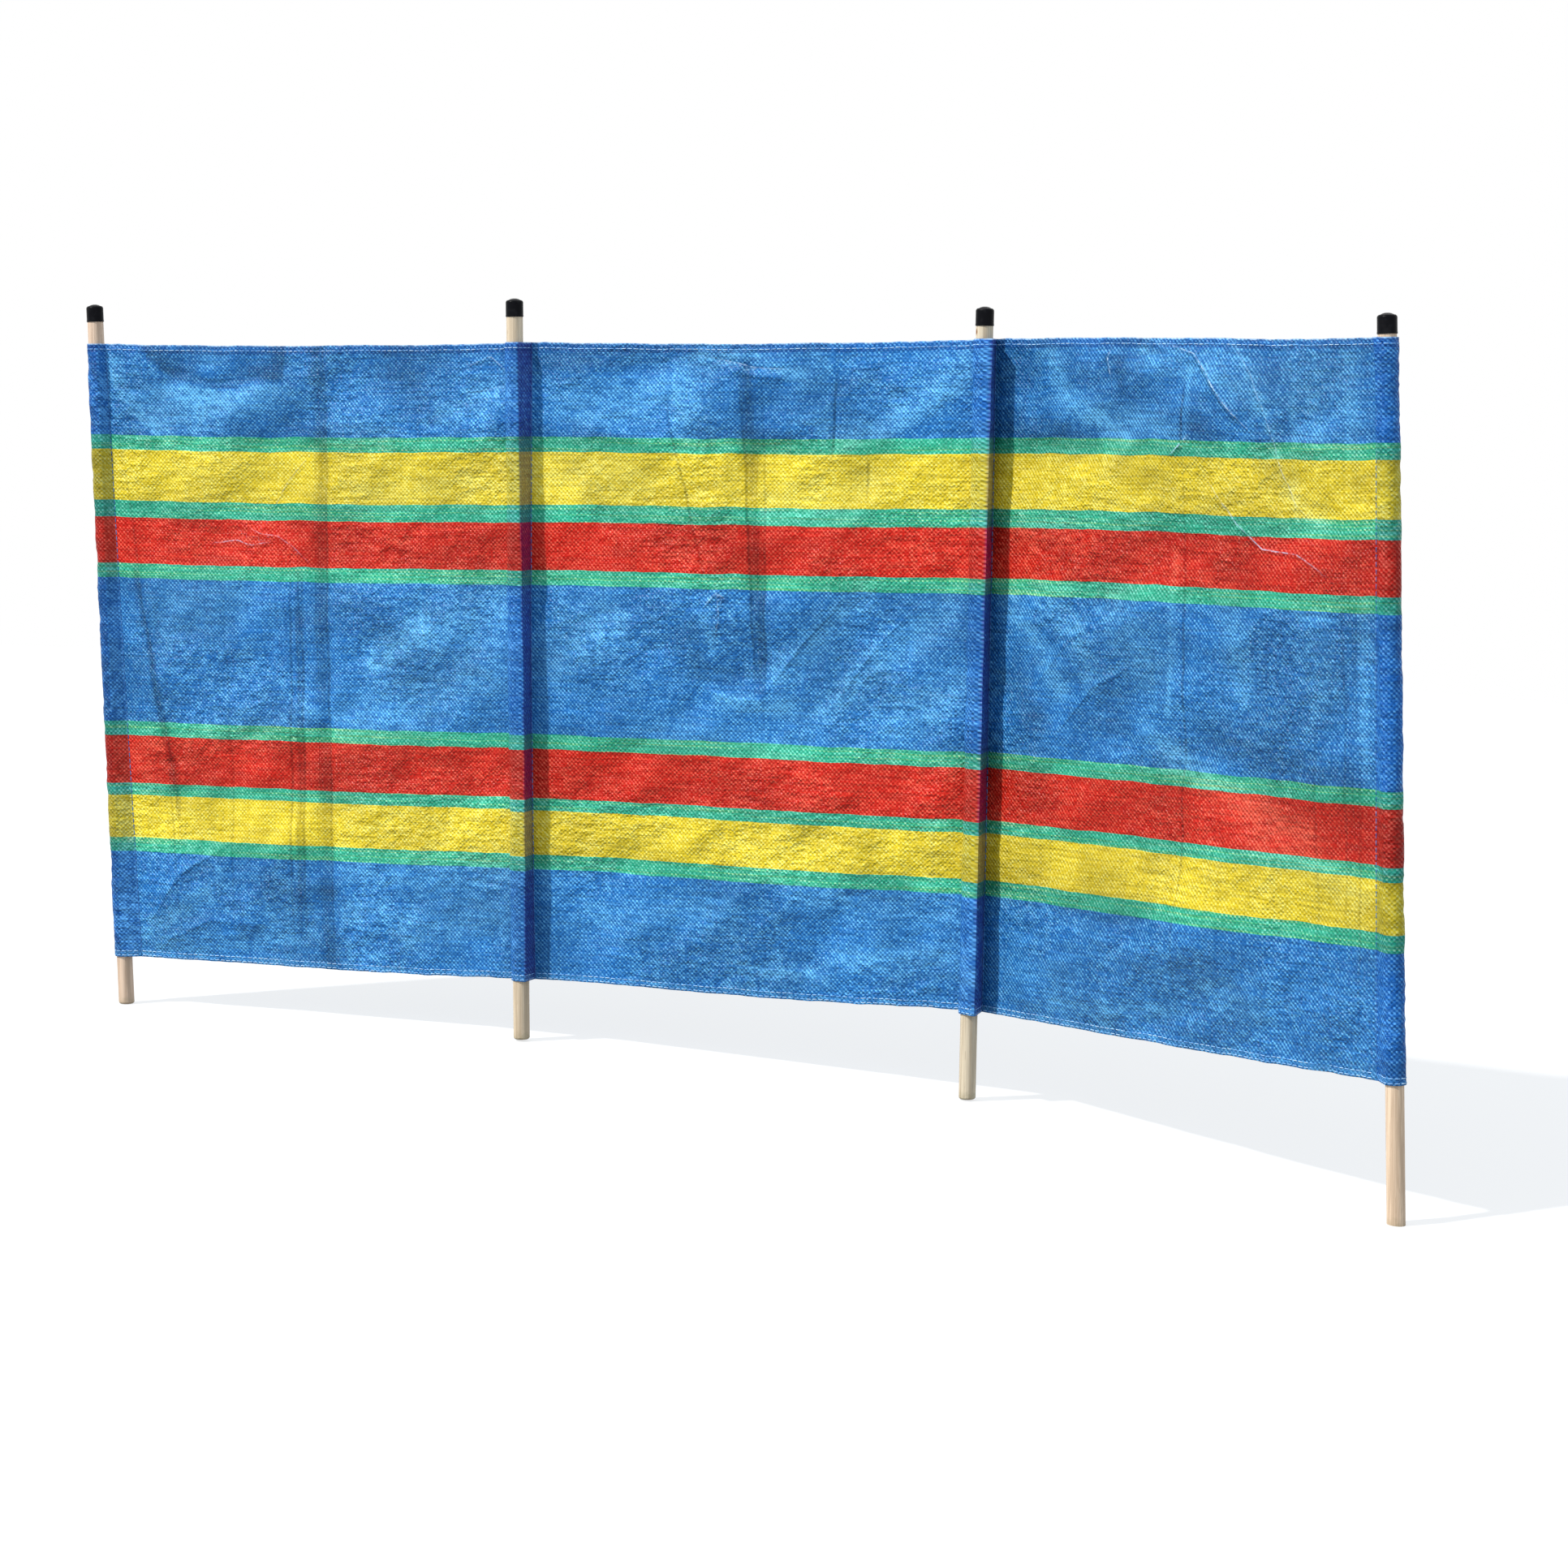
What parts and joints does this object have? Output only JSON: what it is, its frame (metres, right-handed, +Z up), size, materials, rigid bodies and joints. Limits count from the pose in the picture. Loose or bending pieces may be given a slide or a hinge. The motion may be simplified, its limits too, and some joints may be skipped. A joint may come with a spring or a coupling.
{
  "type": "beach windbreak",
  "caption": "Striped cloth windbreak standing in bays on planted round wooden poles, with sewn pole pockets, turned hems and push-on plastic caps.",
  "frame": {"origin": "centre of the right end pole's foot, at ground level", "axes": "+X along the middle bay from left to right, +Y to the side away from the pocket loops, +Z up"},
  "size_m": [2.4551, 0.419, 1.384],
  "materials": {
    "pole_wood": "bare turned softwood, dry and slightly weathered",
    "cap_plastic": "moulded black plastic with a soft sheen",
    "striped_cloth": "woven plastic tape cloth in horizontal stripes, satin sheen"
  },
  "bodies": {
    "root": {"left_end_pole": "pole_wood", "left_end_cap": "cap_plastic", "left_end_pocket": "striped_cloth", "left_middle_pole": "pole_wood", "left_middle_cap": "cap_plastic", "left_middle_pocket": "striped_cloth", "right_middle_pole": "pole_wood", "right_middle_cap": "cap_plastic", "right_middle_pocket": "striped_cloth", "right_end_pole": "pole_wood", "right_end_cap": "cap_plastic", "right_end_pocket": "striped_cloth", "left_bay": "striped_cloth", "left_bay_top_hem": "striped_cloth", "left_bay_bottom_hem": "striped_cloth", "middle_bay": "striped_cloth", "middle_bay_top_hem": "striped_cloth", "middle_bay_bottom_hem": "striped_cloth", "right_bay": "striped_cloth", "right_bay_top_hem": "striped_cloth", "right_bay_bottom_hem": "striped_cloth"}
  },
  "joints": []
}
